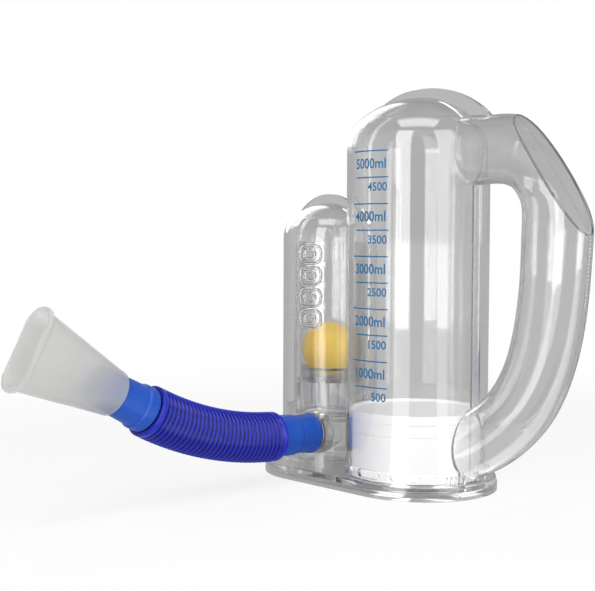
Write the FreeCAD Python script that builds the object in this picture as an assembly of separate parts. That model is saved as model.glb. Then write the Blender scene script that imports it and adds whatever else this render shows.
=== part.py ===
import FreeCAD, Part
import math
import os
from FreeCAD import Placement, Rotation, Vector

# Volume-and-flow incentive spirometer, in millimetres. The origin is where the
# volume chamber's axis meets the resting plane. +X points to the handle, -Y to
# the hose, +Z up. Two clear half shells meet on the plane Y = 0.

# Clear shells
wall = 2.2
chamberBoreR = 40.8
chamberStraightTop = 204.5
chamberDomeRise = 30.0
chamberKnuckle = 22.0
flowBoreR = 27.4
flowStraightTop = 150.4
flowDomeRise = 22.5
flowKnuckle = 18.0
chamberSpacing = 4.2
seamHalf = 1.5
seamOut = 4.6
seamRise = 4.9
flowSeamRise = 5.9
flowSeamOut = 4.0
finTop = Vector(39.2, 0, 231.6)
finFoot = Vector(57.0, 0, 219.0)

# Base
baseR = 47.0
baseLength = 67.8
baseEnd = 2.6
trayTop = 4.6
trayFloor = 1.8
trayWall = 2.0
footInset = 0.6
footTop = 8.2
ductHalf = 13.0
ductWall = 1.6
edgeRound = 0.8

# Handle, a hollow oval tube: half thickness across, and its path
gripHalfWidth = 15.0
armZ = 201.0
gripX = 100.5
armHalf = 19.7
gripHalf = 20.8
footHalf = 18.8
armStart = 36.0
cornerR = 37.5
gripRun = 91.0
footRun = 49.6
footEnd = Vector(37.0, 0, 26.5)
footAngle = -154.7
facetTop = Vector(74.2, 0, 219.7)
facetFoot = Vector(121.6, 0, 152.5)
facetBulge = 1.3
throatDepth = 1.9
throatHalf = 8.0
throatRise = 9.0
throatOut = 0.6

# Vent slots at the foot of the volume chamber
ventWidth = 16.4
ventHeight = 4.7
ventZ = 12.2
ventPitch = 32.5

# Chamber floor and piston
floorThick = 2.2
floorFit = 0.15
padTop = footTop
padCount = 8
padRim = 1.0
padWidth = 2.6
pistonGap = 0.3
pistonLift = 0.3
pistonTop = 47.9
pistonWall = 1.7
landHeight = 5.0
landDepth = 0.6
grooveZ = 35.0
grooveWidth = 1.2
crownRecess = 1.4
ribCount = 4
ribHalf = 0.7
ribDepth = 10.0
ribStart = 8.0
hubR = 9.0
hubWall = 1.4

# Flow tube, ball seat and ball
ballR = 17.5
ballGap = 0.6
ballZ = 78.0
ballLift = 0.3
tubeWall = 1.4
tubeTop = 148.0
tubeFit = 0.15
seatOpeningR = 12.0
seatDepth = 7.0
seatFit = 0.05
outletHeight = 12.0
outletWidth = 9.0
outletCount = 6
outletTurn = 30.0
ledgeWidth = 4.0
spokeThick = 2.0
spokeHeight = 2.2
seatHubR = 3.4
seatLip = 2.0

# Hose port on the flow chamber's front
portX = -63.0
portY = -30.0
portZ = 27.5
portTilt = 2.2
spigotR = 11.0
spigotBore = 9.3
spigotReach = 22.0
spigotInner = 8.4
ringThick = 1.5
ringInset = 0.6
bossWall = 2.4
bossDepth = 22.0
spigotNose = 0.8
slideFit = 0.05
bodyGap = 0.3

# Hose and cuffs
cuffR = 12.1
cuffRim = 0.4
cuffNeckR = 11.85
cuffNeckRun = 4.5
cuffStep = 2.0
cuffCollarR = 12.7
cuffLength = 30.8
collarLength = 14.0
hoseLength = 99.2
hoseTurn = 25.3
crestR = 15.4
rootR = 13.7
hoseBoreR = 10.4
hoseWall = 1.0
ringCount = 29
tailR = 11.4
tailLength = 6.0
edgeSoft = 0.6

# Mouth cuff and mouthpiece
mouthCollarR = 13.2
mouthCollarLength = 8.0
mouthBodyR = 12.2
mouthShoulder = 23.8
noseLength = 14.0
mouthWall = 1.3
mouthRimR = 12.9
mouthLength = 60.5
mouthCornerR = 11.0
cornerSpare = 0.2
lipHalfLong = 24.6
lipHalfShort = 12.9
lipRoll = 3.0
lipStand = 1.5


def cylinder(radius, low, high, x=0.0, y=0.0):
    return Part.makeCylinder(radius, high - low, Vector(x, y, low))


def box(xLow, xHigh, yLow, yHigh, zLow, zHigh):
    size = (xHigh - xLow, yHigh - yLow, zHigh - zLow)
    return Part.makeBox(*size, Vector(xLow, yLow, zLow))


def line(start, end):
    return Part.LineSegment(start, end).toShape()


def revolve(edges, x=0.0):
    face = Part.Face(Part.Wire(Part.__sortEdges__(edges)))
    return face.revolve(Vector(x, 0, 0), Vector(0, 0, 1), 360)


def turned(points):
    # A solid of revolution about local Z from (radius, height) corners
    corners = [Vector(r, 0, z) for r, z in points]
    wire = Part.makePolygon(corners + corners[:1])
    return Part.Face(wire).revolve(Vector(0, 0, 0), Vector(0, 0, 1), 360)


def domeArcs(centre, across, rise, knuckle):
    # Shoulder arc and crown arc, tangent to each other, in the XZ plane
    side = 1 if across > 0 else -1
    reach = abs(across)
    crownR = (reach ** 2 + rise ** 2 - 2 * reach * knuckle) / (2 * (rise - knuckle))
    lean = math.atan2(crownR - rise, reach - knuckle)

    def at(middleX, middleZ, radius, turn):
        return centre + Vector(side * (middleX + radius * math.cos(turn)), 0, middleZ + radius * math.sin(turn))

    shoulder = [at(reach - knuckle, 0, knuckle, turn) for turn in (0, lean / 2, lean)]
    crown = [at(0, rise - crownR, crownR, turn) for turn in (lean, (lean + math.pi / 2) / 2, math.pi / 2)]
    return [Part.Arc(*shoulder).toShape(), Part.Arc(*crown).toShape()]


def domed(radius, low, straightTop, rise, knuckle, x=0.0):
    # A round column that ends in a shallow dome, its seam line on the Y axis
    crown = Vector(x, 0, straightTop + rise)
    shoulder = Vector(x + radius, 0, straightTop)
    edges = [
        line(Vector(x, 0, low), Vector(x + radius, 0, low)),
        line(Vector(x + radius, 0, low), shoulder),
        *domeArcs(Vector(x, 0, straightTop), radius, rise, knuckle),
        line(crown, Vector(x, 0, low)),
    ]
    column = revolve(edges, x)
    column.rotate(Vector(x, 0, 0), Vector(0, 0, 1), 90)
    return column


def stadium(radius, low, high):
    # Plan of the base: a round end about each chamber, straight sides
    left = -baseLength
    right = baseEnd
    edges = [
        Part.Arc(Vector(right, -radius, low), Vector(right + radius, 0, low), Vector(right, radius, low)).toShape(),
        line(Vector(right, radius, low), Vector(left, radius, low)),
        Part.Arc(Vector(left, radius, low), Vector(left - radius, 0, low), Vector(left, -radius, low)).toShape(),
        line(Vector(left, -radius, low), Vector(right, -radius, low)),
    ]
    return Part.Face(Part.Wire(edges)).extrude(Vector(0, 0, high - low))


def roundTopEdges(solid, height, radius):
    rim = [e for e in solid.Edges if abs(e.BoundBox.ZMin - height) < 1e-6 and abs(e.BoundBox.ZMax - height) < 1e-6]
    return solid.makeFillet(radius, rim)


chamberR = chamberBoreR + wall
flowR = flowBoreR + wall
flowX = -(chamberR + chamberSpacing + flowR)
ballBoreR = ballR + ballGap
tubeR = ballBoreR + tubeWall
seatTop = ballZ - math.sqrt(ballR ** 2 - seatOpeningR ** 2) - ballLift
pistonFoot = padTop + pistonLift


def along(point, heading):
    # Frame whose Z runs out along the hose in the plane X = portX
    return Placement(point, Rotation(Vector(1, 0, 0), 90 - heading))


portFrame = along(Vector(portX, portY, portZ), portTilt)


hoseStart = portFrame.multVec(Vector(0, 0, cuffLength))
bendR = hoseLength / math.radians(hoseTurn)
bendCentre = hoseStart + portFrame.Rotation.multVec(Vector(0, bendR, 0))


def hoseFrame(share):
    # Frame at a share of the hose's length, on one arc from cuff to cuff
    heading = portTilt + hoseTurn * share
    now = math.radians(heading)
    return along(bendCentre + Vector(0, -bendR * math.sin(now), -bendR * math.cos(now)), heading)


def gripSections():
    # Centre, heading in degrees and half depth of each oval section, from the
    # straight top arm round the corner and down a curve to the chamber's foot
    cornerX = gripX - cornerR
    cornerZ = armZ - cornerR
    sections = [(Vector(x, 0, armZ), 0.0, armHalf) for x in (armStart, (armStart + cornerX) / 2)]
    cornerSteps = 4
    for step in range(cornerSteps):
        share = step / cornerSteps
        turn = math.radians(90 * share)
        centre = Vector(cornerX + cornerR * math.sin(turn), 0, cornerZ + cornerR * math.cos(turn))
        sections.append((centre, -90 * share, armHalf + (gripHalf - armHalf) * share))
    turn = math.radians(footAngle)
    start = Vector(gripX, 0, cornerZ)
    ahead = Vector(math.cos(turn), 0, math.sin(turn))
    curve = Part.BezierCurve()
    curve.setPoles([start, start + Vector(0, 0, -gripRun), footEnd - ahead * footRun, footEnd])
    curveSteps = 8
    for step in range(curveSteps + 1):
        share = step / curveSteps
        tangent = curve.tangent(share)[0]
        heading = math.degrees(math.atan2(tangent.z, tangent.x))
        half = gripHalf + (footHalf - gripHalf) * share ** 1.5
        sections.append((curve.value(share), heading, half))
    return sections


def ovalWire(halfX, halfY, height=0.0):
    # Oval of four quarter arcs, all starting on +X so that lofts don't twist
    centre = Vector(0, 0, height)
    side = Vector(halfX, 0, height)
    if abs(halfX - halfY) < 1e-6:
        curve = Part.Circle(centre, Vector(0, 0, 1), halfX)
    elif halfX > halfY:
        curve = Part.Ellipse(side, Vector(0, halfY, height), centre)
    else:
        curve = Part.Ellipse(Vector(0, halfY, height), Vector(-halfX, 0, height), centre)
    first = curve.parameter(side)
    quarter = math.pi / 2
    return Part.Wire([curve.toShape(first + k * quarter, first + (k + 1) * quarter) for k in range(4)])


def gripTube(inset):
    # Oval tube through the sections; inset shrinks it evenly for the cavity
    wires = []
    for centre, heading, half in gripSections():
        oval = ovalWire(half - inset, gripHalfWidth - inset)
        oval.rotate(Vector(0, 0, 0), Vector(0, 1, 0), 90 - heading)
        oval.translate(centre)
        wires.append(oval)
    return Part.makeLoft(wires, True, False)


def facetCut(inset):
    # Everything beyond a long shallow curve across the handle's outer top corner
    chord = facetFoot - facetTop
    run = Vector(chord).normalize()
    outward = Vector(-run.z, 0, run.x)
    middle = (facetTop + facetFoot) / 2
    radius = (chord.Length ** 2 / 4 + facetBulge ** 2) / (2 * facetBulge)
    centre = middle + outward * (facetBulge - radius)
    side = 2 * gripHalfWidth
    spare = 40
    corners = []
    for ahead, out in ((-1, -1), (1, -1), (1, 2), (-1, 2)):
        corners.append(middle + run * ahead * (chord.Length / 2 + spare) + outward * out * spare)
    corners = [corner + Vector(0, -side, 0) for corner in corners]
    block = Part.Face(Part.makePolygon(corners + corners[:1])).extrude(Vector(0, 2 * side, 0))
    drum = Part.makeCylinder(radius - inset, 2 * side, centre + Vector(0, -side, 0), Vector(0, 1, 0))
    return block.cut(drum)


def handleSolid():
    return gripTube(0).cut(facetCut(0))


def handleCavity():
    # Opens into the chamber at the top arm and stops at its wall lower down
    hollow = gripTube(wall).cut(facetCut(wall))
    lowerWall = cylinder(chamberR, 0, chamberStraightTop / 2)
    return hollow.cut(lowerWall)


def throatRing(innerR, outerR, half, low, high):
    ring = cylinder(outerR, low, high).cut(cylinder(innerR, low, high))
    return ring.common(box(0, outerR, -half, half, low, high))


def seamFin():
    # Flange plate in the seam plane, round both domes and down both sides
    right = chamberR + seamOut
    left = -(chamberR + seamOut)
    crown = Vector(0, 0, chamberStraightTop + chamberDomeRise + seamRise)
    flowRight = flowX + flowR + seamOut
    flowLeft = flowX - flowR - flowSeamOut
    edges = [
        line(Vector(right, 0, trayTop), Vector(right, 0, armZ)),
        line(Vector(right, 0, armZ), Vector(finFoot.x, 0, armZ)),
        line(Vector(finFoot.x, 0, armZ), finFoot),
        Part.Arc(finFoot, finTop, crown).toShape(),
        *domeArcs(Vector(0, 0, chamberStraightTop), left, crown.z - chamberStraightTop, chamberKnuckle + seamOut),
        line(Vector(left, 0, chamberStraightTop), Vector(left, 0, flowStraightTop)),
        line(Vector(left, 0, flowStraightTop), Vector(left, 0, trayTop)),
        line(Vector(left, 0, trayTop), Vector(right, 0, trayTop)),
    ]
    big = Part.Face(Part.Wire(Part.__sortEdges__(edges)))
    rise = flowDomeRise + flowSeamRise
    small = Part.Face(Part.Wire(Part.__sortEdges__([
        line(Vector(flowLeft, 0, trayTop), Vector(flowRight, 0, trayTop)),
        line(Vector(flowRight, 0, trayTop), Vector(flowRight, 0, flowStraightTop)),
        *domeArcs(Vector(flowX, 0, flowStraightTop), flowRight - flowX, rise, flowKnuckle + seamOut),
        *domeArcs(Vector(flowX, 0, flowStraightTop), flowLeft - flowX, rise, flowKnuckle + seamOut),
        line(Vector(flowLeft, 0, flowStraightTop), Vector(flowLeft, 0, trayTop)),
    ])))
    plates = []
    for face in (big, small):
        plate = face.extrude(Vector(0, 2 * seamHalf, 0))
        plate.translate(Vector(0, -seamHalf, 0))
        plates.append(plate)
    return plates[0].fuse(plates[1])


def ventSlots():
    # Round-ended slots through the chamber wall, front and rear
    half = ventWidth / 2 - ventHeight / 2
    deep = wall + 2
    slots = []
    for facing in (-90, 90):
        for step in (-1, 0, 1):
            middle = box(0, deep, -half, half, -ventHeight / 2, ventHeight / 2)
            ends = []
            for y in (-half, half):
                end = Part.makeCylinder(ventHeight / 2, deep, Vector(0, y, 0), Vector(1, 0, 0))
                ends.append(end)
            slot = middle.multiFuse(ends)
            slot.translate(Vector(chamberBoreR - 1, 0, ventZ))
            slot.rotate(Vector(0, 0, 0), Vector(0, 0, 1), facing + step * ventPitch)
            slots.append(slot)
    return slots


def portBoss():
    boss = cylinder(spigotR + bossWall, -ringThick - bossDepth, -ringThick)
    boss.Placement = portFrame
    return boss


def portBore():
    # Bore for the spigot, with a flat spot-face for the spigot's stop ring
    bore = cylinder(spigotR + slideFit, -ringThick - bossDepth, spigotInner)
    spotFace = cylinder(spigotR + bossWall + bodyGap, -ringThick, spigotInner)
    bore = bore.fuse(spotFace)
    bore.Placement = portFrame
    return bore


def clearBody():
    # Both half shells in one piece, before the split on the seam plane
    footEdge = baseR - footInset
    foot = roundTopEdges(stadium(footEdge, trayTop, footTop), footTop, edgeRound)
    outer = foot.multiFuse([
        domed(chamberR, trayTop, chamberStraightTop, chamberDomeRise, chamberKnuckle),
        domed(flowR, trayTop, flowStraightTop, flowDomeRise, flowKnuckle, flowX),
        handleSolid(),
        throatRing(chamberR - wall / 2, footEdge + throatOut, throatHalf + wall, trayTop, footTop + throatRise),
        portBoss(),
        seamFin(),
    ])
    throatR = chamberR + throatDepth
    hollows = [
        domed(chamberBoreR, trayTop - 1, chamberStraightTop, chamberDomeRise - wall, chamberKnuckle - wall),
        domed(flowBoreR, footTop, flowStraightTop, flowDomeRise - wall, flowKnuckle - wall, flowX),
        handleCavity(),
        throatRing(chamberR, throatR, throatHalf, trayTop - 1, footTop + throatRise),
        cylinder(tubeR + tubeFit, trayTop - 1, footTop + 1, flowX),
        portBore(),
    ]
    body = outer
    for hollow in hollows + ventSlots():
        body = body.cut(hollow)
    return body


def halfShells():
    body = clearBody()
    reach = 400
    front = body.common(box(-reach, reach, -reach, 0, -reach, reach))
    rear = body.common(box(-reach, reach, 0, reach, -reach, reach))
    return front.Solids[0], rear.Solids[0]


def baseTray():
    # Shallow tray that closes the base and forms the air duct under the floor
    tray = stadium(baseR, 0, trayTop)
    tray = tray.cut(stadium(baseR - trayWall, trayFloor, trayTop + 1))
    inside = stadium(baseR - trayWall / 2, trayFloor, trayTop)
    rightEnd = baseEnd + baseR
    outerRun = box(flowX, rightEnd, -ductHalf - ductWall, ductHalf + ductWall, trayFloor, trayTop)
    outerEnd = cylinder(tubeR + ductWall, trayFloor, trayTop, flowX)
    innerRun = box(flowX, rightEnd, -ductHalf, ductHalf, trayFloor, trayTop)
    innerEnd = cylinder(ballBoreR, trayFloor, trayTop, flowX)
    rails = outerRun.fuse(outerEnd).cut(innerRun.fuse(innerEnd)).common(inside)
    return tray.fuse(rails).removeSplitter()


def chamberFloor():
    # Disc under the piston, with pads that the piston's rim rests over
    radius = chamberBoreR - floorFit
    low = trayTop
    top = trayTop + floorThick
    disc = cylinder(radius, low, top)
    padR = radius - padRim
    ring = cylinder(padR, top, padTop).cut(cylinder(padR - padWidth, top, padTop))
    gap = box(0, radius, -ventWidth / 4, ventWidth / 4, top, padTop)
    for step in range(padCount):
        slot = gap.copy()
        slot.rotate(Vector(0, 0, 0), Vector(0, 0, 1), step * 360 / padCount)
        ring = ring.cut(slot)
    return disc.fuse(ring)


def volumePiston():
    # Thin open-bottomed cup, guided by a land at each end of its skirt
    landR = chamberBoreR - pistonGap
    skirtR = landR - landDepth
    innerR = skirtR - pistonWall
    crownTop = pistonTop - crownRecess
    crownUnder = crownTop - pistonWall
    grooveLow = grooveZ - grooveWidth / 2
    grooveHigh = grooveZ + grooveWidth / 2
    cup = turned([
        (0, crownTop), (landR - pistonWall - 1.0, crownTop), (landR - pistonWall, pistonTop),
        (landR, pistonTop), (landR, pistonTop - landHeight), (skirtR, pistonTop - landHeight - landDepth),
        (skirtR, grooveHigh), (skirtR - landDepth, grooveZ), (skirtR, grooveLow),
        (skirtR, pistonFoot + landHeight + landDepth), (landR, pistonFoot + landHeight),
        (landR, pistonFoot), (innerR, pistonFoot), (innerR, crownUnder), (0, crownUnder),
    ])
    ribs = []
    ribFoot = crownUnder - ribDepth
    ribHead = crownUnder + pistonWall / 2
    for step in range(ribCount):
        rib = box(ribStart, innerR + pistonWall / 2, -ribHalf, ribHalf, ribFoot, ribHead)
        rib.rotate(Vector(0, 0, 0), Vector(0, 0, 1), 45 + step * 360 / ribCount)
        ribs.append(rib)
    hub = cylinder(hubR, ribFoot, ribHead).cut(cylinder(hubR - hubWall, ribFoot, crownUnder))
    return cup.multiFuse(ribs + [hub])


def flowTube():
    # Riser that guides the ball: thick below the seat, with outlets at its top
    ledge = seatTop - seatDepth
    boreR = seatOpeningR + ledgeWidth
    tube = turned([
        (boreR, trayTop), (tubeR, trayTop), (tubeR, tubeTop),
        (ballBoreR, tubeTop), (ballBoreR, ledge), (boreR, ledge),
    ])
    for step in range(outletCount):
        slot = box(ballBoreR - 1, tubeR + 1, -outletWidth / 2, outletWidth / 2, tubeTop - outletHeight, tubeTop + 1)
        slot.rotate(Vector(0, 0, 0), Vector(0, 0, 1), outletTurn + step * 360 / outletCount)
        tube = tube.cut(slot)
    tube.translate(Vector(flowX, 0, 0))
    return tube


def ballSeat():
    # Ring with a dished mouth and crossed bars, pressed onto the tube's ledge
    ledge = seatTop - seatDepth
    outerR = ballBoreR - seatFit
    ring = turned([
        (seatOpeningR, ledge), (outerR, ledge), (outerR, seatTop + seatLip),
        (outerR - tubeWall, seatTop + seatLip), (seatOpeningR, seatTop),
    ])
    barReach = seatOpeningR + 1
    spider = [cylinder(seatHubR, ledge, ledge + spokeHeight)]
    for step in range(2):
        bar = box(-barReach, barReach, -spokeThick / 2, spokeThick / 2, ledge, ledge + spokeHeight)
        bar.rotate(Vector(0, 0, 0), Vector(0, 0, 1), 45 + step * 90)
        spider.append(bar)
    seat = ring.multiFuse(spider)
    seat.translate(Vector(flowX, 0, 0))
    return seat


def flowBall():
    return Part.makeSphere(ballR, Vector(flowX, 0, ballZ))


def hoseSpigot():
    # Straight spigot for the cuff, with a stop ring that sits in the boss
    inner = -ringThick - spigotInner
    ringR = spigotR + bossWall - ringInset
    spigot = turned([
        (spigotBore, inner), (spigotR, inner), (spigotR, -ringThick), (ringR, -ringThick), (ringR, 0),
        (spigotR, 0), (spigotR, spigotReach - spigotNose), (spigotR - spigotNose, spigotReach),
        (spigotBore, spigotReach),
    ])
    spigot.Placement = portFrame
    return spigot


def hoseCuff():
    # Soft cuff over the spigot, necked before the collar that holds the hose
    boreR = spigotR + slideFit
    rimR = cuffR + cuffRim
    neckZ = cuffLength - collarLength
    holdR = tailR + slideFit
    holdZ = cuffLength - tailLength - slideFit
    cuff = turned([
        (boreR, bodyGap), (rimR, bodyGap), (rimR, cuffStep), (cuffR, cuffStep + edgeSoft),
        (cuffNeckR, neckZ - cuffNeckRun), (cuffNeckR, neckZ - cuffStep), (cuffCollarR, neckZ),
        (cuffCollarR, cuffLength - edgeSoft), (cuffCollarR - edgeSoft, cuffLength), (holdR, cuffLength),
        (holdR, holdZ), (boreR, holdZ),
    ])
    cuff.Placement = portFrame
    return cuff


def circleAt(share, radius):
    circle = Part.Wire(Part.makeCircle(radius))
    circle.Placement = hoseFrame(share)
    return circle


def corrugatedHose():
    # Bellows of plain rings on one long arc, with a smooth tail into each cuff
    rings = []
    for step in range(2 * ringCount + 1):
        radius = rootR if step % 2 == 0 else crestR
        rings.append(circleAt(step / (2 * ringCount), radius))
    pitch = hoseLength / ringCount
    tails = []
    bores = []
    for share, side in ((0, -1), (1, 1)):
        ends = sorted((side * tailLength, -side * pitch / 4))
        tail = cylinder(tailR, *ends)
        bore = cylinder(hoseBoreR, ends[0] - pitch, ends[1] + pitch)
        for piece, group in ((tail, tails), (bore, bores)):
            piece.Placement = hoseFrame(share)
            group.append(piece)
    margin = 1 / (2 * ringCount)
    disc = Part.Face(circleAt(margin, rootR - hoseWall))
    inner = disc.revolve(bendCentre, Vector(-1, 0, 0), hoseTurn * (1 - 2 * margin))
    hose = Part.makeLoft(rings, True, True).multiFuse(tails)
    return hose.cut(bores[0].multiFuse([inner, bores[1]]))


mouthFrame = hoseFrame(1)


def mouthCuff():
    # Cuff on the hose's far end, stepped down to the nose for the mouthpiece
    holdR = tailR + bodyGap
    noseEnd = mouthShoulder + noseLength
    collarEnd = mouthCollarLength
    stepR = mouthCollarR - mouthBodyR
    cuff = turned([
        (holdR, bodyGap), (mouthCollarR - edgeSoft, bodyGap), (mouthCollarR, bodyGap + edgeSoft),
        (mouthCollarR, collarEnd - stepR), (mouthBodyR, collarEnd), (mouthBodyR - edgeSoft, mouthShoulder),
        (spigotR, mouthShoulder), (spigotR, noseEnd - spigotNose), (spigotR - spigotNose, noseEnd),
        (spigotBore, noseEnd), (spigotBore, collarEnd + mouthWall), (holdR, collarEnd - stepR),
    ])
    cuff.Placement = mouthFrame
    return cuff


def slotWire(halfX, halfY, corner, height):
    # Rounded rectangle of four quarter arcs and four lines, starting on +X
    arcs = []
    for step, (sideX, sideY) in enumerate(((1, 1), (-1, 1), (-1, -1), (1, -1))):
        middle = Vector(sideX * (halfX - corner), sideY * (halfY - corner), height)
        turns = [math.radians(90 * step + part) for part in (0, 45, 90)]
        arcs.append([middle + Vector(math.cos(t), math.sin(t), 0) * corner for t in turns])
    edges = []
    for arc, following in zip(arcs, arcs[1:] + arcs[:1]):
        edges.append(Part.Arc(*arc).toShape())
        edges.append(line(arc[2], following[0]))
    return Part.Wire(edges)


def mouthSection(height, inset=0.0):
    # Outline of the mouthpiece, round at its rim and a flat slot at its mouth
    share = (height - mouthShoulder - bodyGap) / mouthLength
    halfShort = mouthRimR + (lipHalfShort - lipStand - mouthRimR) * share
    halfLong = mouthRimR + (lipHalfLong - lipStand - mouthRimR) * share
    corner = mouthRimR + (mouthCornerR - mouthRimR) * share - cornerSpare
    return slotWire(halfShort - inset, halfLong - inset, corner - inset, height)


def mouthpiece():
    # Funnel from a round socket to a flat mouth with a thick rolled lip
    rim = mouthShoulder + bodyGap
    socketEnd = rim + noseLength
    end = rim + mouthLength
    lips = []
    for back, inset in ((lipRoll, lipStand), (lipRoll * 0.7, 0.3), (lipRoll * 0.3, 0), (0.1, 0.5), (0, 1.2)):
        corner = mouthCornerR + lipStand - cornerSpare - inset
        lips.append(slotWire(lipHalfShort - inset, lipHalfLong - inset, corner, end - back))
    outside = Part.makeLoft([mouthSection(rim), mouthSection(end - lipRoll / 2)], True, True)
    hollowEnd = end + slideFit
    hollow = Part.makeLoft([mouthSection(socketEnd, mouthWall), mouthSection(hollowEnd, mouthWall)], True, True)
    bore = cylinder(spigotR + slideFit, rim - bodyGap, socketEnd + bodyGap)
    piece = outside.fuse(Part.makeLoft(lips, True, True)).cut(bore.fuse(hollow))
    piece.Placement = mouthFrame
    return piece


def main():
    os.makedirs("parts", exist_ok=True)
    front, rear = halfShells()
    nodes = {
        "front_shell": front,
        "rear_shell": rear,
        "base_tray": baseTray(),
        "chamber_floor": chamberFloor(),
        "volume_piston": volumePiston(),
        "flow_tube": flowTube(),
        "ball_seat": ballSeat(),
        "flow_ball": flowBall(),
        "hose_spigot": hoseSpigot(),
        "hose_cuff": hoseCuff(),
        "corrugated_hose": corrugatedHose(),
        "mouth_cuff": mouthCuff(),
        "mouthpiece": mouthpiece(),
    }
    for name, shape in nodes.items():
        box3 = shape.BoundBox
        print(name, shape.ShapeType, len(shape.Solids), shape.isValid(), round(shape.Volume, 1),
              [round(v, 2) for v in (box3.XMin, box3.XMax, box3.YMin, box3.YMax, box3.ZMin, box3.ZMax)])
        shape.exportStep("parts/" + name + ".step")


main()
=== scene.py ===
import math

import bmesh
import bpy
from mathutils import Matrix, Vector


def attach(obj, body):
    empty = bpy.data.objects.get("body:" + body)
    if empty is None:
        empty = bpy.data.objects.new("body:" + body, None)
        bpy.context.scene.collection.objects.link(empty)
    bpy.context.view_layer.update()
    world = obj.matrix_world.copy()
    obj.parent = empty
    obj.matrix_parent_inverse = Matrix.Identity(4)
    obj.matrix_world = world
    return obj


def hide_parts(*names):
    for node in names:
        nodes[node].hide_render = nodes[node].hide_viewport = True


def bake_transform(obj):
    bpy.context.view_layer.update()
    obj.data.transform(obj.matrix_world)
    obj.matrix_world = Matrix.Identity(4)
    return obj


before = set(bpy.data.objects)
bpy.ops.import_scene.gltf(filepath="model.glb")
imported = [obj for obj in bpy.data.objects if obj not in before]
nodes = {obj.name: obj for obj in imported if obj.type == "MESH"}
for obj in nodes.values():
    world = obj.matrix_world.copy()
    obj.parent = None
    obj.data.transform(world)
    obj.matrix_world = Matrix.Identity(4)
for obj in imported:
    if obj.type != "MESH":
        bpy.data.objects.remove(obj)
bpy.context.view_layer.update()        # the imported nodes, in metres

scene = bpy.context.scene
print("frame loaded with", len(nodes), "nodes")


# Small helpers that every piece uses

def linear(red, green, blue):
    # colours are picked as 0 to 255 screen values and used as linear light
    def one(value):
        value /= 255
        return value / 12.92 if value <= 0.04045 else ((value + 0.055) / 1.055) ** 2.4
    return (one(red), one(green), one(blue), 1.0)


def levelOut(turn):
    # level direction, turned from the front towards the handle
    return Vector((math.sin(turn), -math.cos(turn), 0))


def newMesh(name, points, faces, material, body, smooth=True):
    mesh = bpy.data.meshes.new(name)
    mesh.from_pydata([tuple(p) for p in points], [], faces)
    mesh.validate()
    bm = bmesh.new()
    bm.from_mesh(mesh)
    bmesh.ops.recalc_face_normals(bm, faces=bm.faces)
    bm.to_mesh(mesh)
    bm.free()
    mesh.polygons.foreach_set("use_smooth", [smooth] * len(mesh.polygons))
    mesh.materials.append(material)
    piece = bpy.data.objects.new(name, mesh)
    scene.collection.objects.link(piece)
    if body:
        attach(piece, body)
    return piece


def gridFaces(rows, columns, closeRows=False, closeColumns=False, first=0):
    # quads of a grid whose points run column by column inside each row
    faces = []
    for row in range(rows if closeRows else rows - 1):
        for column in range(columns if closeColumns else columns - 1):
            nextRow = (row + 1) % rows
            nextColumn = (column + 1) % columns
            faces.append([first + r * columns + c for r, c in
                          ((row, column), (row, nextColumn), (nextRow, nextColumn), (nextRow, column))])
    return faces


def node(tree, kind, **values):
    made = tree.nodes.new(kind)
    for key, value in values.items():
        if key in made.inputs:
            made.inputs[key].default_value = value
        else:
            setattr(made, key, value)
    return made


def join(tree, source, sourceSocket, target, targetSocket):
    tree.links.new(source.outputs[sourceSocket], target.inputs[targetSocket])


def grey(level):
    return (level, level, level, 1.0)


def emptyMaterial(name):
    material = bpy.data.materials.new(name)
    material.use_nodes = True
    tree = material.node_tree
    tree.nodes.clear()
    return material, tree, node(tree, "ShaderNodeOutputMaterial")


def blankMaterial(name):
    material, tree, output = emptyMaterial(name)
    shader = node(tree, "ShaderNodeBsdfPrincipled")
    join(tree, shader, "BSDF", output, "Surface")
    return material, tree, shader, output


def noise(tree, coordinates, scale, detail=3.0, stretch=None):
    source = coordinates
    socket = "Object"
    if stretch:
        source = node(tree, "ShaderNodeMapping", Scale=stretch)
        join(tree, coordinates, "Object", source, "Vector")
        socket = "Vector"
    made = node(tree, "ShaderNodeTexNoise", Scale=scale, Detail=detail)
    join(tree, source, socket, made, "Vector")
    return made


def setOrJoin(tree, source, target):
    # a source is a value, an output, or a node and the name of its output
    if isinstance(source, bpy.types.NodeSocket):
        tree.links.new(source, target)
    elif isinstance(source, tuple) and isinstance(source[0], bpy.types.Node):
        tree.links.new(source[0].outputs[source[1]], target)
    else:
        target.default_value = source


def mapRange(tree, source, socket, fromRange=(0.0, 1.0), toRange=(0.0, 1.0), smooth=False):
    made = node(tree, "ShaderNodeMapRange", interpolation_type="SMOOTHSTEP" if smooth else "LINEAR")
    for name, value in zip(("From Min", "From Max", "To Min", "To Max"), fromRange + toRange):
        made.inputs[name].default_value = value
    join(tree, source, socket, made, "Value")
    return made


def mathNode(tree, operation, *sources):
    made = node(tree, "ShaderNodeMath", operation=operation)
    for source, target in zip(sources, made.inputs):
        setOrJoin(tree, source, target)
    return made


def mixShaders(tree, share, first, second):
    made = node(tree, "ShaderNodeMixShader")
    setOrJoin(tree, share, made.inputs[0])
    tree.links.new(first.outputs[0], made.inputs[1])
    tree.links.new(second.outputs[0], made.inputs[2])
    return made


def mixColours(tree, factor, factorSocket, *colours):
    # the mixed colour, as the output that it comes from
    made = node(tree, "ShaderNodeMix", data_type="RGBA")
    join(tree, factor, factorSocket, made, 0)
    for colour, target in zip(colours, [socket for socket in made.inputs if socket.type == "RGBA"]):
        setOrJoin(tree, colour, target)
    return [socket for socket in made.outputs if socket.type == "RGBA"][0]


def unevenRoughness(tree, shader, pattern, roughness, shares):
    rough = mapRange(tree, pattern, "Fac", toRange=(roughness * shares[0], roughness * shares[1]))
    join(tree, rough, "Result", shader, "Roughness")


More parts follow.
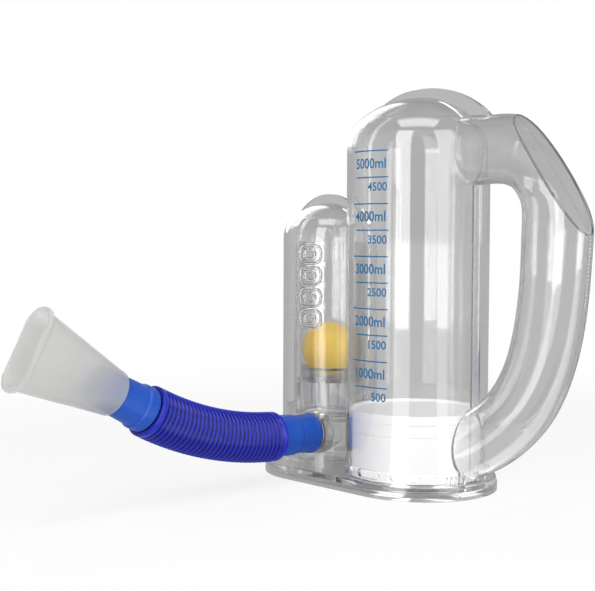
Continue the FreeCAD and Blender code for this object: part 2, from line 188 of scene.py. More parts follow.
def addBump(tree, shader, height, distance, strength=0.5):
    bump = node(tree, "ShaderNodeBump", Strength=strength, Distance=distance)
    join(tree, height, "Fac", bump, "Height")
    join(tree, bump, "Normal", shader, "Normal")
    return bump


# Camera: placed where the photograph was taken from

cameraLook = {
    "azimuth": 41.5,          # degrees round from the front, towards the handle
    "distance": 0.7282,
    "height": 0.1509,
    "yaw": 5.72,
    "pitch": 2.795,
    "roll": 0.22,
    "focalPixels": 1197.0,
    "frameWidth": 595,
    "sensor": 36.0,
}


def makeCamera(look):
    azimuth = math.radians(look["azimuth"])
    heading = math.radians(look["azimuth"] + look["yaw"])
    pitch = math.radians(look["pitch"])
    roll = math.radians(look["roll"])
    forward = Vector((-math.sin(heading) * math.cos(pitch), math.cos(heading) * math.cos(pitch), -math.sin(pitch)))
    level = Vector((math.cos(heading), math.sin(heading), 0))
    upright = level.cross(forward)
    across = math.cos(roll) * level + math.sin(roll) * upright
    above = -math.sin(roll) * level + math.cos(roll) * upright
    data = bpy.data.cameras.new("photoCamera")
    data.sensor_width = look["sensor"]
    data.lens = look["focalPixels"] / look["frameWidth"] * look["sensor"]
    camera = bpy.data.objects.new("photoCamera", data)
    scene.collection.objects.link(camera)
    turn = Matrix((across, above, -forward)).transposed()
    place = levelOut(azimuth) * look["distance"] + Vector((0, 0, look["height"]))
    camera.matrix_world = Matrix.Translation(place) @ turn.to_4x4()
    scene.camera = camera


makeCamera(cameraLook)


# Stage: white floor that keeps the shadow, soft lights, and a pale studio that clear plastic shows

stageLook = {
    "floorSize": 60.0,
    "floorDrop": 0.0004,       # the paper lies just under the object, so that no faces coincide
    "floorGlow": 0.80,         # share of the floor's white that doesn't need lamps
    "floorWhite": 0.93,
    "shadowReach": (0.20, 0.75),   # beyond this the floor is all white
    "ambient": 0.20,
    "studioFloor": 0.52,       # greys that clear plastic shows: the floor and the ceiling
    "studioTop": 0.34,
    "ceilingRise": (0.25, 0.80),   # where the walls turn into the ceiling: 0 is level, 1 overhead
    "backdropTurn": 47.2,      # which way the grey backdrop lies, degrees round from the rear
    # brightness of the studio walls, from behind the lamps round to the backdrop
    "walls": ((0.0, 0.40), (0.16, 0.50), (0.38, 0.86), (0.62, 0.86), (0.85, 0.52), (1.0, 0.46)),
    "bandGlow": 1.7,           # strength of the softboxes' images in the floor, seen in clear plastic
    "bandEdge": (0.968, 0.982),    # cosine of the angle from a softbox at which its image fades out
    "bandBoxes": 2,            # the first softboxes have such an image
    "aim": (0, 0, 0.12),       # what the softboxes face
    "softboxes": [
        {"name": "leftBox", "azimuth": 18.0, "distance": 0.75, "height": 0.40, "width": 0.33, "tall": 0.78,
         "watts": 3.2},
        {"name": "rightBox", "azimuth": 86.0, "distance": 0.75, "height": 0.40, "width": 0.42, "tall": 0.78,
         "watts": 3.1},
        {"name": "topBox", "azimuth": 40.0, "distance": 0.30, "height": 1.15, "width": 0.80, "tall": 0.55,
         "watts": 4.5},
        {"name": "backBox", "azimuth": 250.0, "distance": 1.10, "height": 0.70, "width": 0.70, "tall": 0.9,
         "watts": 2.5},
    ],
}


def makeFloor(look):
    half = look["floorSize"] / 2
    mesh = bpy.data.meshes.new("studioFloor")
    mesh.from_pydata([(-half, -half, 0), (half, -half, 0), (half, half, 0), (-half, half, 0)], [], [(0, 1, 2, 3)])
    material, tree, output = emptyMaterial("floorPaper")
    paper = node(tree, "ShaderNodeBsdfDiffuse", Color=grey(look["floorWhite"]))
    rays = node(tree, "ShaderNodeLightPath")
    clearRay = mathNode(tree, "MAXIMUM", (rays, "Is Glossy Ray"), (rays, "Is Transmission Ray"))
    shade = mixColours(tree, clearRay, "Value", grey(1.0), grey(look["studioFloor"]))
    glow = node(tree, "ShaderNodeEmission")
    tree.links.new(shade, glow.inputs["Color"])
    place = node(tree, "ShaderNodeTexCoord")
    distance = node(tree, "ShaderNodeVectorMath", operation="LENGTH")
    join(tree, place, "Object", distance, 0)
    # the lower part of a softbox's image, which the floor would mirror
    flat = node(tree, "ShaderNodeVectorMath", operation="NORMALIZE")
    join(tree, place, "Object", flat, 0)
    band = 0.0
    for box in look["softboxes"][:look["bandBoxes"]]:
        toBox = node(tree, "ShaderNodeVectorMath", operation="DOT_PRODUCT")
        toBox.inputs[1].default_value = levelOut(math.radians(box["azimuth"]))
        join(tree, flat, "Vector", toBox, 0)
        inside = mapRange(tree, toBox, "Value", fromRange=look["bandEdge"], smooth=True)
        band = (mathNode(tree, "MAXIMUM", band, (inside, "Result")), "Value")
    seenBand = mathNode(tree, "MULTIPLY", band, (rays, "Is Glossy Ray"))
    strength = mathNode(tree, "MULTIPLY_ADD", (seenBand, "Value"), look["bandGlow"] / look["studioFloor"], 1.0)
    join(tree, strength, "Value", glow, "Strength")
    fade = mapRange(tree, distance, "Value", look["shadowReach"], (look["floorGlow"], 1.0), smooth=True)
    seenShare = mathNode(tree, "MULTIPLY", (fade, "Result"), (rays, "Is Camera Ray"))
    share = mathNode(tree, "MAXIMUM", (seenShare, "Value"), (clearRay, "Value"))
    join(tree, mixShaders(tree, (share, "Value"), paper, glow), "Shader", output, "Surface")
    mesh.materials.append(material)
    floor = bpy.data.objects.new("studioFloor", mesh)
    floor.location.z = -look["floorDrop"]
    scene.collection.objects.link(floor)


def makeWorld(look):
    world = bpy.data.worlds.new("paleStudio")
    scene.world = world
    world.use_nodes = True
    tree = world.node_tree
    tree.nodes.clear()
    output = node(tree, "ShaderNodeOutputWorld")
    rays = node(tree, "ShaderNodeLightPath")
    place = node(tree, "ShaderNodeTexCoord")
    parts = node(tree, "ShaderNodeSeparateXYZ")
    join(tree, place, "Generated", parts, "Vector")
    # grey backdrop, bright sides and a darker ceiling
    facing = node(tree, "ShaderNodeVectorMath", operation="DOT_PRODUCT")
    turn = math.radians(look["backdropTurn"])
    facing.inputs[1].default_value = (-math.sin(turn), math.cos(turn), 0)
    join(tree, place, "Generated", facing, 0)
    share = mapRange(tree, facing, "Value", fromRange=(-1.0, 1.0))
    walls = node(tree, "ShaderNodeValToRGB")
    stops = walls.color_ramp.elements
    while len(stops) < len(look["walls"]):
        stops.new(0.5)
    for stop, (at, level) in zip(stops, look["walls"]):
        stop.position = at
        stop.color = grey(level)
    join(tree, share, "Result", walls, "Fac")
    rise = mapRange(tree, parts, "Z", fromRange=look["ceilingRise"], smooth=True)
    studio = mixColours(tree, rise, "Result", (walls, "Color"), grey(look["studioTop"]))
    ambient = node(tree, "ShaderNodeBackground", Color=grey(1.0), Strength=look["ambient"])
    seen = node(tree, "ShaderNodeBackground", Strength=1.0)
    tree.links.new(studio, seen.inputs["Color"])
    white = node(tree, "ShaderNodeBackground", Color=grey(1.0), Strength=1.0)
    clearRay = mathNode(tree, "MAXIMUM", (rays, "Is Glossy Ray"), (rays, "Is Transmission Ray"))
    withPlastic = mixShaders(tree, (clearRay, "Value"), ambient, seen)
    withCamera = mixShaders(tree, (rays, "Is Camera Ray"), withPlastic, white)
    join(tree, withCamera, "Shader", output, "Surface")


def makeSoftboxes(look):
    target = Vector(look["aim"])
    for box in look["softboxes"]:
        place = levelOut(math.radians(box["azimuth"])) * box["distance"] + Vector((0, 0, box["height"]))
        data = bpy.data.lights.new(box["name"], "AREA")
        data.shape = "RECTANGLE"
        data.size = box["width"]
        data.size_y = box["tall"]
        data.energy = box["watts"]
        lamp = bpy.data.objects.new(box["name"], data)
        lamp.location = place
        lamp.rotation_mode = "QUATERNION"
        lamp.rotation_quaternion = (target - place).to_track_quat("-Z", "Y")
        lamp.visible_camera = False
        scene.collection.objects.link(lamp)


makeFloor(stageLook)
makeWorld(stageLook)
makeSoftboxes(stageLook)
scene.view_settings.view_transform = "Standard"
scene.cycles.max_bounces = 40
scene.cycles.transmission_bounces = 40
scene.cycles.glossy_bounces = 10
scene.cycles.transparent_max_bounces = 40
print("camera and stage ready")


# Finishes

clearLook = {
    "shell": {"face": (252, 252, 252), "edge": (228, 228, 228), "roughness": 0.035, "ripple": 0.00012},
    "base": {"face": (242, 242, 242), "edge": (186, 186, 186), "roughness": 0.05, "ripple": 0.0002},
    "inner": {"face": (251, 251, 251), "edge": (226, 226, 226), "roughness": 0.04, "ripple": 0.0001},
    "index": 1.59,
    "edgeOn": 0.28,            # how soon a wall counts as seen edge on
    "hazeScale": 90.0,
    "hazeShares": (0.6, 1.5),  # least and most of the roughness
    "rippleScale": 38.0,
    "rippleStretch": (1, 1, 0.35),
    "shadeThrough": 0.995,     # light that a face lets through to what stands inside
    "softEdge": 0.0010,        # rounding of the moulded edges
    "softShare": 0.5,          # how much of that rounding shows
    "softSamples": 4,
    "mirrorTurns": 1.5,        # a ray with more mirrorings, or more turns in all, goes straight on
    "rayTurns": 8.5,
    "caughtTint": 0.80,
    "weldTint": 0.985,
    "weldTolerance": 1e-6,
}


def clearPlastic(name, look):
    # moulded clear plastic: greyer where the wall is seen edge on, with slow ripples from the mould
    material, tree, shader, output = blankMaterial(name)
    shader.inputs["Transmission Weight"].default_value = 1.0
    shader.inputs["IOR"].default_value = clearLook["index"]
    place = node(tree, "ShaderNodeTexCoord")
    facing = node(tree, "ShaderNodeLayerWeight", Blend=clearLook["edgeOn"])
    tint = mixColours(tree, facing, "Facing", linear(*look["face"]), linear(*look["edge"]))
    tree.links.new(tint, shader.inputs["Base Color"])
    haze = noise(tree, place, clearLook["hazeScale"], 4.0)
    unevenRoughness(tree, shader, haze, look["roughness"], clearLook["hazeShares"])
    ripple = noise(tree, place, clearLook["rippleScale"], 1.5, stretch=clearLook["rippleStretch"])
    bump = addBump(tree, shader, ripple, look["ripple"])
    rounded = node(tree, "ShaderNodeBevel", Radius=clearLook["softEdge"], samples=clearLook["softSamples"])
    # half of the rounding only: a full one turns away from view at an outline and goes black there
    flat = node(tree, "ShaderNodeNewGeometry")
    halfway = node(tree, "ShaderNodeMix", data_type="VECTOR", Factor=clearLook["softShare"])
    vectorSockets = [socket for socket in halfway.inputs if socket.name in "AB" and socket.type == "VECTOR"]
    tree.links.new(flat.outputs["Normal"], vectorSockets[0])
    tree.links.new(rounded.outputs["Normal"], vectorSockets[1])
    mixed = [socket for socket in halfway.outputs if socket.type == "VECTOR"][0]
    tree.links.new(mixed, bump.inputs["Normal"])
    # lamps reach the piston and the ball through the wall, as they do in the real thing
    rays = node(tree, "ShaderNodeLightPath")
    lit = mathNode(tree, "MAXIMUM", (rays, "Is Shadow Ray"), (rays, "Is Diffuse Ray"))
    # light caught inside a wall's thickness leaves it after a few turns, so no seam goes black
    mirrored = mathNode(tree, "GREATER_THAN", (rays, "Glossy Depth"), clearLook["mirrorTurns"])
    deep = mathNode(tree, "GREATER_THAN", (rays, "Ray Depth"), clearLook["rayTurns"])
    caught = mathNode(tree, "MAXIMUM", (mirrored, "Value"), (deep, "Value"))
    straight = mathNode(tree, "MAXIMUM", (lit, "Value"), (caught, "Value"))
    passing = node(tree, "ShaderNodeBsdfTransparent")
    kept = mixColours(tree, caught, "Value", grey(clearLook["shadeThrough"]), grey(clearLook["caughtTint"]))
    tree.links.new(kept, passing.inputs["Color"])
    join(tree, mixShaders(tree, (straight, "Value"), shader, passing), "Shader", output, "Surface")
    return material


def gluedFace():
    # where two clear pieces are welded face to face, light goes straight on
    material, tree, output = emptyMaterial("weldedFace")
    clear = node(tree, "ShaderNodeBsdfTransparent", Color=grey(clearLook["weldTint"]))
    join(tree, clear, "BSDF", output, "Surface")
    return material


solidLook = {
    "piston": {"colour": (246, 246, 246), "shade": (240, 240, 240), "roughness": 0.42, "grain": 500.0,
               "bump": 0.00004, "soft": 0.12},
    "ball": {"colour": (226, 186, 26), "shade": (220, 178, 20), "roughness": 0.36, "grain": 380.0,
             "bump": 0.00003, "soft": 0.10},
    "cuff": {"colour": (28, 84, 186), "shade": (22, 74, 174), "roughness": 0.36, "grain": 420.0,
             "bump": 0.00006, "soft": 0.10, "gloss": 0.34},
    # the hose's third colour, the darkest, is painted shade for the folds between its rings
    "hose": {"colour": (34, 46, 196), "shade": (26, 38, 178), "paintedFoldShade": (3, 8, 96), "roughness": 0.20,
             "grain": 360.0, "bump": 0.00003, "soft": 0.0, "gloss": 0.32},
    "ink": {"colour": (4, 100, 152), "shade": (10, 108, 160), "roughness": 0.60, "grain": 2600.0,
            "bump": 0.00001, "soft": 0.0, "gloss": 0.25, "noMirror": True},
    "driftScale": 55.0,
    "patchScale": 120.0,
    "patchShares": (0.8, 1.25),    # least and most of the roughness
    "gloss": 0.5,
    "softRadius": (1.0, 0.8, 0.6),
    "softDepth": 0.002,
    "mirrorTurns": 0.5,
}


def solidPlastic(name, look):
    # coloured moulded plastic: faint colour drift, fine grain, uneven gloss
    material, tree, shader, output = blankMaterial(name)
    place = node(tree, "ShaderNodeTexCoord")
    drift = noise(tree, place, solidLook["driftScale"], 4.0)
    colour = mixColours(tree, drift, "Fac", linear(*look["colour"]), linear(*look["shade"]))
    if "paintedFoldShade" in look:
        # painted shade: the folds between the rings get a darker colour where shade would fall, so the thin crests
        # look lighter
        height = node(tree, "ShaderNodeAttribute", attribute_name="ringHeight")
        colour = mixColours(tree, height, "Fac", linear(*look["paintedFoldShade"]), colour)
    tree.links.new(colour, shader.inputs["Base Color"])
    patch = noise(tree, place, solidLook["patchScale"])
    unevenRoughness(tree, shader, patch, look["roughness"], solidLook["patchShares"])
    addBump(tree, shader, noise(tree, place, look["grain"], 4.0), look["bump"])
    shader.inputs["Specular IOR Level"].default_value = look.get("gloss", solidLook["gloss"])
    if look["soft"]:
        shader.inputs["Subsurface Weight"].default_value = look["soft"]
        shader.inputs["Subsurface Radius"].default_value = solidLook["softRadius"]
        shader.inputs["Subsurface Scale"].default_value = solidLook["softDepth"]
    if look.get("noMirror"):
        # the print has no second image in the chamber's rear wall
        rays = node(tree, "ShaderNodeLightPath")
        mirrored = mathNode(tree, "GREATER_THAN", (rays, "Glossy Depth"), solidLook["mirrorTurns"])
        passing = node(tree, "ShaderNodeBsdfTransparent")
        join(tree, mixShaders(tree, (mirrored, "Value"), shader, passing), "Shader", output, "Surface")
    return material


frostLook = {
    "colour": (247, 247, 246),
    "shade": (237, 237, 236),
    "cloudScale": 60.0,
    "roughness": 0.34,
    "patchScale": 200.0,
    "patchShares": (0.85, 1.15),   # least and most of the roughness
    "clear": 0.48,
    "index": 1.45,
    "soft": 0.25,
    "softDepth": 0.003,
    "lightThrough": 0.42,      # share of the light that the milky wall scatters inwards
    "straight": 0.36,          # share that goes straight through
    "grain": 900.0,
    "bump": 0.00005,
}


def frostedPlastic(name, look):
    # milky soft plastic with a fine blasted surface
    material, tree, shader, output = blankMaterial(name)
    place = node(tree, "ShaderNodeTexCoord")
    cloud = noise(tree, place, look["cloudScale"])
    colour = mixColours(tree, cloud, "Fac", linear(*look["colour"]), linear(*look["shade"]))
    tree.links.new(colour, shader.inputs["Base Color"])
    patch = noise(tree, place, look["patchScale"])
    unevenRoughness(tree, shader, patch, look["roughness"], look["patchShares"])
    shader.inputs["Transmission Weight"].default_value = look["clear"]
    shader.inputs["IOR"].default_value = look["index"]
    shader.inputs["Subsurface Weight"].default_value = look["soft"]
    shader.inputs["Subsurface Scale"].default_value = look["softDepth"]
    addBump(tree, shader, noise(tree, place, look["grain"]), look["bump"])
    milky = node(tree, "ShaderNodeBsdfTranslucent")
    tree.links.new(colour, milky.inputs["Color"])
    scattered = mixShaders(tree, look["lightThrough"], shader, milky)
    passing = node(tree, "ShaderNodeBsdfTransparent", Color=linear(*look["colour"]))
    join(tree, mixShaders(tree, look["straight"], scattered, passing), "Shader", output, "Surface")
    return material


shellPlastic = clearPlastic("clearShellPlastic", clearLook["shell"])
basePlastic = clearPlastic("clearBasePlastic", clearLook["base"])
innerPlastic = clearPlastic("clearInnerPlastic", clearLook["inner"])
weldedFace = gluedFace()
pistonPlastic = solidPlastic("whitePistonPlastic", solidLook["piston"])
ballPlastic = solidPlastic("yellowBallPlastic", solidLook["ball"])
cuffPlastic = solidPlastic("blueCuffPlastic", solidLook["cuff"])
hosePlastic = solidPlastic("darkBlueHosePlastic", solidLook["hose"])
scaleInk = solidPlastic("blueScaleInk", solidLook["ink"])
mouthPlastic = frostedPlastic("frostedMouthPlastic", frostLook)

nodeFinish = {
    "front_shell": shellPlastic,
    "rear_shell": shellPlastic,
    "base_tray": basePlastic,
    "chamber_floor": innerPlastic,
    "flow_tube": innerPlastic,
    "ball_seat": innerPlastic,
    "hose_spigot": innerPlastic,
    "volume_piston": pistonPlastic,
    "flow_ball": ballPlastic,
    "hose_cuff": cuffPlastic,
    "mouth_cuff": cuffPlastic,
    "corrugated_hose": hosePlastic,
    "mouthpiece": mouthPlastic,
}


def finishNodes(table):
    for name, material in table.items():
        piece = nodes[name]
        mesh = piece.data
        mesh.materials.clear()
        mesh.materials.append(material)
        if name in ("front_shell", "rear_shell"):
            mesh.materials.append(weldedFace)
            for polygon in mesh.polygons:
                seam = all(abs(mesh.vertices[i].co.y) < clearLook["weldTolerance"] for i in polygon.vertices)
                polygon.material_index = 1 if seam else 0


finishNodes(nodeFinish)
print("finishes on", len(nodeFinish), "nodes")


# Printed volume scale on the front of the large chamber

chamberOuterR = 0.0430
scaleLook = {
    "lift": 0.00016,           # the ink stands just proud of the wall
    "firstHeight": 0.06355,    # 500 ml line
    "step": 0.01525,           # per 500 ml
    "lines": 10,
    "longFrom": -18.45,        # degrees round from the front
    "shortFrom": -14.7,
    "lineTo": 18.4,
    "lineThick": 0.00072,
    "bigHeight": 0.0060,
    "smallHeight": 0.0050,
    "bigDrop": 0.0102,         # baseline of the figures under their line
    "smallDrop": 0.0079,
    "bigInset": 2.3,           # degrees from the line's end to the figures' right edge
    "smallInset": 1.1,
    "bigNarrow": 0.98,
    "smallNarrow": 1.0,
    "stroke": 0.014,           # how far each outline is fattened
    "curveSteps": 4,
    "lineSteps": 24,
}


def onChamber(degrees, height, lift):
    turn = math.radians(degrees)
    radius = chamberOuterR + lift
    return (math.sin(turn) * radius, -math.cos(turn) * radius, height)


def lineMesh(look, low, height, points, faces):
    first = len(points)
    steps = look["lineSteps"]
    for row in (-0.5, 0.5):
        for step in range(steps + 1):
            turn = low + (look["lineTo"] - low) * step / steps
            points.append(onChamber(turn, height + row * look["lineThick"], look["lift"]))
    faces.extend(gridFaces(2, steps + 1, first=first))


def figureMesh(look, text, rightEdge, baseline, capHeight, narrow):
    # plain figures, wrapped round the chamber from their right edge
    curve = bpy.data.curves.new("figures", "FONT")
    curve.body = text
    curve.resolution_u = look["curveSteps"]
    curve.offset = look["stroke"]
    carrier = bpy.data.objects.new("figures", curve)
    scene.collection.objects.link(carrier)
    bpy.context.view_layer.update()
    flat = bpy.data.meshes.new_from_object(carrier.evaluated_get(bpy.context.evaluated_depsgraph_get()))
    bm = bmesh.new()
    bm.from_mesh(flat)
    bmesh.ops.triangulate(bm, faces=bm.faces)
    tops = [v.co.y for v in bm.verts]
    rights = [v.co.x for v in bm.verts]
    size = capHeight / (max(tops) - min(tops))
    points = []
    for vertex in bm.verts:
        along = (vertex.co.x - max(rights)) * size * narrow
        turn = rightEdge + math.degrees(along / chamberOuterR)
        points.append(onChamber(turn, baseline + (vertex.co.y - min(tops)) * size, look["lift"]))
    faces = [[vertex.index for vertex in face.verts] for face in bm.faces]
    bm.free()
    bpy.data.meshes.remove(flat)
    bpy.data.objects.remove(carrier)
    bpy.data.curves.remove(curve)
    return points, faces


def makeScale(look):
    linePoints, lineFaces = [], []
    for count in range(look["lines"]):
        millilitres = 500 * (count + 1)
        height = look["firstHeight"] + look["step"] * count
        whole = millilitres % 1000 == 0
        size = "big" if whole else "small"
        lineMesh(look, look["longFrom"] if whole else look["shortFrom"], height, linePoints, lineFaces)
        points, faces = figureMesh(look, str(millilitres) + ("ml" if whole else ""),
                                   look["lineTo"] - look[size + "Inset"], height - look[size + "Drop"],
                                   look[size + "Height"], look[size + "Narrow"])
        newMesh("scaleFigures" + str(millilitres), points, faces, scaleInk, "housing", smooth=False)
    newMesh("scaleLines", linePoints, lineFaces, scaleInk, "housing", smooth=False)


makeScale(scaleLook)
print("scale printed")


# Corrugated hose between its two cuffs

hoseLook = {
    "start": (-0.063, -0.030, 0.0275),   # middle of the port's mouth
    "tilt": 2.2,
    "cuffLength": 0.0308,
    "length": 0.0992,
    "turn": 25.3,
    "rings": 29,
    "crest": 0.0154,
    "root": 0.0137,
    "wall": 0.0010,
    "tail": 0.0114,
    "tailLength": 0.0060,
    "endBand": 0.0042,         # plain band before the first ring
    "bandEdge": 0.0004,        # the band's rounded edge: how long it is, and three depths under the crest
    "bandDepths": (0.0010, 0.0004, 0.0002),
    "crestShape": 1.7,         # above 1 the crests are narrower than the folds
    "stepsPerRing": 8,
    "sides": 72,
    "bendShares": (0.04, 0.96),    # where along its length the bend starts and ends
}
acrossHose = Vector((1, 0, 0))


def headingVectors(degrees):
    turn = math.radians(degrees)
    out = Vector((0, -math.cos(turn), math.sin(turn)))
    up = Vector((0, math.sin(turn), math.cos(turn)))
    return out, up


portOut, portUp = headingVectors(hoseLook["tilt"])
hoseStart = Vector(hoseLook["start"]) + portOut * hoseLook["cuffLength"]
bendR = hoseLook["length"] / math.radians(hoseLook["turn"])
bendCentre = hoseStart + portUp * bendR


def hosePlace(distance):
    # middle and up direction at a distance from the first cuff; straight past both ends
    inside = min(max(distance, 0), hoseLook["length"])
    out, up = headingVectors(hoseLook["tilt"] + hoseLook["turn"] * inside / hoseLook["length"])
    return bendCentre - up * bendR + out * (distance - inside), up


def ringPoints(distance, radius, sides):
    middle, up = hosePlace(distance)
    points = []
    for k in range(sides):
        turn = 2 * math.pi * k / sides
        points.append(middle + acrossHose * (radius * math.cos(turn)) + up * (radius * math.sin(turn)))
    return points


def makeHose(look):
    length, band, edge = look["length"], look["endBand"], look["bandEdge"]
    crest, root, tail, wall = look["crest"], look["root"], look["tail"], look["wall"]
    pitch = (length - 2 * band) / look["rings"]
    shoulder, bevel, flat = [crest - depth for depth in look["bandDepths"]]
    plainEnd = [(-look["tailLength"], tail), (0.0, tail), (0.0, shoulder), (edge, bevel), (2 * edge, flat),
                (band - 2 * edge, flat)]
    outline = list(plainEnd)
    for ring in range(look["rings"]):
        for step in range(look["stepsPerRing"]):
            share = (step + 0.5) / look["stepsPerRing"]
            lift = (0.5 - 0.5 * math.cos(2 * math.pi * share)) ** look["crestShape"]
            outline.append((band + (ring + share) * pitch, root + (crest - root) * lift))
    outline += [(length - at, radius) for at, radius in reversed(plainEnd)]
    profile = outline + [(at, max(radius, tail) - wall) for at, radius in reversed(outline)]
    points = []
    for at, radius in profile:
        points.extend(ringPoints(at, radius, look["sides"]))
    faces = gridFaces(len(profile), look["sides"], closeRows=True, closeColumns=True)
    hose = newMesh("bellowsHose", points, faces, hosePlastic, None)
    # ringHeight is 0 in the folds and 1 on the crests; the hose's finish uses it to paint shade into the folds
    height = hose.data.attributes.new("ringHeight", "FLOAT", "POINT")
    height.data.foreach_set("value", [min(max((radius - root) / (crest - root), 0.0), 1.0)
                                      for at, radius in profile for k in range(look["sides"])])
    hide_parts("corrugated_hose")
    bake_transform(hose)


makeHose(hoseLook)
print("hose made")


# Frosted mouthpiece: a funnel from a round socket to a flat mouth with a rolled lip

mouthLook = {
    "rim": 0.0241,             # how far the socket's rim is from the hose's end
    "length": 0.0605,
    "rimR": 0.0129,
    "lipShort": 0.0114,        # half width and half height of the funnel under the lip
    "lipLong": 0.0231,
    "lipCorner": 0.0108,
    "socketR": 0.01105,
    "socketDepth": 0.0140,
    "wall": 0.0013,
    "rimRound": ((0.0, -0.0004), (0.0001, -0.00015), (0.0004, 0.0)),
    "rimBand": 0.0022,
    "bandStep": 0.00015,       # how far the wall steps in after the band, and over what length
    "bandStepLong": 0.0003,
    "bandGap": 0.002,          # plain lengths after the band and before the lip, outside and inside
    "lipGap": 0.0045,
    "innerLipGap": 0.002,
    "socketRound": (0.0001, 0.0006),   # the corner at the socket's floor, back from its depth
    "socketRim": 0.0003,
    "waist": 0.0010,           # how far the lip draws in half way along its long sides
    "waistReach": 5,           # the higher, the nearer to the lip it starts
    "flatness": 4.0,           # how suddenly each round end turns into the flat side
    "sides": 120,
    "stations": 28,
    # millimetres below the lip's top and how far it stands out, from the outside over the lip to the inside
    "lip": ((3.9, -0.15), (3.3, 0.0), (2.8, 0.42), (2.45, 0.92), (2.1, 1.28), (1.6, 1.46), (1.0, 1.48), (0.5, 1.36),
            (0.15, 1.05), (0.0, 0.7), (0.0, 0.42), (0.18, 0.16), (0.3, -0.08), (0.18, -0.32), (0.0, -0.52),
            (0.02, -0.78), (0.2, -1.02), (0.6, -1.2), (1.2, -1.3)),
}


def mouthPoints(look, forward, stand, isRound):
    # one closed outline, forward from the rim, moved outwards by stand; the socket inside is round
    middle, up = hosePlace(hoseLook["length"] + look["rim"] + forward)
    share = forward / look["length"]
    halfShort = look["rimR"] + (look["lipShort"] - look["rimR"]) * share
    halfLong = look["rimR"] + (look["lipLong"] - look["rimR"]) * share
    corner = look["rimR"] + (look["lipCorner"] - look["rimR"]) * share
    points = []
    for step in range(look["sides"]):
        turn = 2 * math.pi * step / look["sides"]
        if isRound:
            across, along = look["socketR"] * math.cos(turn), look["socketR"] * math.sin(turn)
        else:
            shiftX = max(-1, min(1, look["flatness"] * math.cos(turn))) * (halfShort - corner)
            shiftY = max(-1, min(1, look["flatness"] * math.sin(turn))) * (halfLong - corner)
            across = (corner + stand) * math.cos(turn) + shiftX
            along = (corner + stand) * math.sin(turn) + shiftY
            pinch = look["waist"] * max(0, share) ** look["waistReach"] * max(0, 1 - (along / halfLong) ** 2) ** 2
            across -= pinch * math.cos(turn)
        points.append(middle + acrossHose * across + up * along)
    return points


def makeMouthpiece(look):
    length, band, depth = look["length"], look["rimBand"], look["socketDepth"]
    stations = look["stations"]
    outer = list(look["rimRound"]) + [(band, 0.0), (band + look["bandStepLong"], -look["bandStep"])]
    first, last = band + look["bandGap"], length - look["lipGap"]
    for step in range(stations + 1):
        outer.append((first + (last - first) * step / stations, -look["bandStep"]))
    outer += [(length - back / 1000, stand / 1000) for back, stand in look["lip"]]
    first = length - look["innerLipGap"]
    inner = [(first - (first - depth) * step / stations, -look["wall"]) for step in range(stations + 1)]
    socket = [depth - back for back in look["socketRound"]] + [depth / 2, look["socketRim"]]
    profile = [(at, stand, False) for at, stand in outer + inner] + [(at, 0, True) for at in socket]
    points = []
    for forward, stand, isRound in profile:
        points.extend(mouthPoints(look, forward, stand, isRound))
    faces = gridFaces(len(profile), look["sides"], closeRows=True, closeColumns=True)
    piece = newMesh("frostedMouthpiece", points, faces, mouthPlastic, "mouthpiece")
    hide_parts("mouthpiece")


makeMouthpiece(mouthLook)
print("mouthpiece made")


# Raised marks on the flow chamber: a plain ladder of frames in the clear wall

flowX = -0.0768
flowOuterR = 0.0296
marksLook = {
    "middle": 21.0,            # degrees round from the front
    "halfWidth": 15.0,
    "low": 0.0925,
    "high": 0.1470,
    "frames": 4,
    "tallShare": 0.42,         # half height of a frame, as a share of the room for each
    "outlines": (1.0, 0.48),   # each frame has an outer and an inner outline
    "corner": 0.0052,
    "cornerShare": 0.8,        # most that a corner takes of the half height
    "cornerSteps": 6,
    "bar": 0.0019,
    # section of the bar: place across it and share of the lift, where none is a foot sunk in the wall
    "section": ((0.5, 0.0), (0.42, 0.7), (0.0, 1.0), (-0.42, 0.7), (-0.5, 0.0)),
    "lift": 0.0006,
    "sunk": 0.0003,
}


def onFlow(degrees, height, lift):
    turn = math.radians(degrees)
    radius = flowOuterR + lift
    return (flowX + math.sin(turn) * radius, -math.cos(turn) * radius, height)


def frameTrack(look, wide, tall):
    corner = min(look["corner"], tall * look["cornerShare"])
    track = []
    for index, (signX, signZ) in enumerate(((1, 1), (-1, 1), (-1, -1), (1, -1))):
        for step in range(look["cornerSteps"] + 1):
            turn = math.radians(90 * (index + step / look["cornerSteps"]))
            track.append((signX * (wide - corner) + corner * math.cos(turn),
                          signZ * (tall - corner) + corner * math.sin(turn)))
    return track


def makeRaisedMarks(look):
    points, faces = [], []
    pitch = (look["high"] - look["low"]) / look["frames"]
    halfTall = pitch * look["tallShare"]
    halfWide = math.radians(look["halfWidth"]) * flowOuterR
    section = [(across, share * look["lift"] if share else -look["sunk"]) for across, share in look["section"]]
    for count in range(look["frames"]):
        height = look["low"] + pitch * (count + 0.5)
        for scale in look["outlines"]:
            track = frameTrack(look, halfWide * scale, halfTall * scale)
            first = len(points)
            for x, z in track:
                for across, lift in section:
                    grow = 1 + across * look["bar"] / math.hypot(x, z)
                    degrees = look["middle"] + math.degrees(x * grow / flowOuterR)
                    points.append(onFlow(degrees, height + z * grow, lift))
            faces.extend(gridFaces(len(track), len(section), closeRows=True, closeColumns=True, first=first))
    newMesh("raisedMarks", points, faces, shellPlastic, "housing")


makeRaisedMarks(marksLook)
print("raised marks made")


# Small moulded details in clear plastic

detailLook = {
    "rodSides": 10,
    "rodEnd": 0.45,            # a rod's thickness at its ends, as a share
    "rimShare": 0.06,          # how much of its length each rounded end takes
    "ringSteps": 96,
}
riserLook = {
    # ribs and beads round the foot of the riser, clear of the hose port
    "wallR": 0.0196,
    "ribs": 16,
    "ribRadius": 0.0010,
    "low": 0.0395,
    "high": 0.0560,
    "portSide": (-12.0, 68.0),
    "beads": ((0.0588, 0.0011), (0.0372, 0.0013), (0.0335, 0.0009)),    # height and radius
}
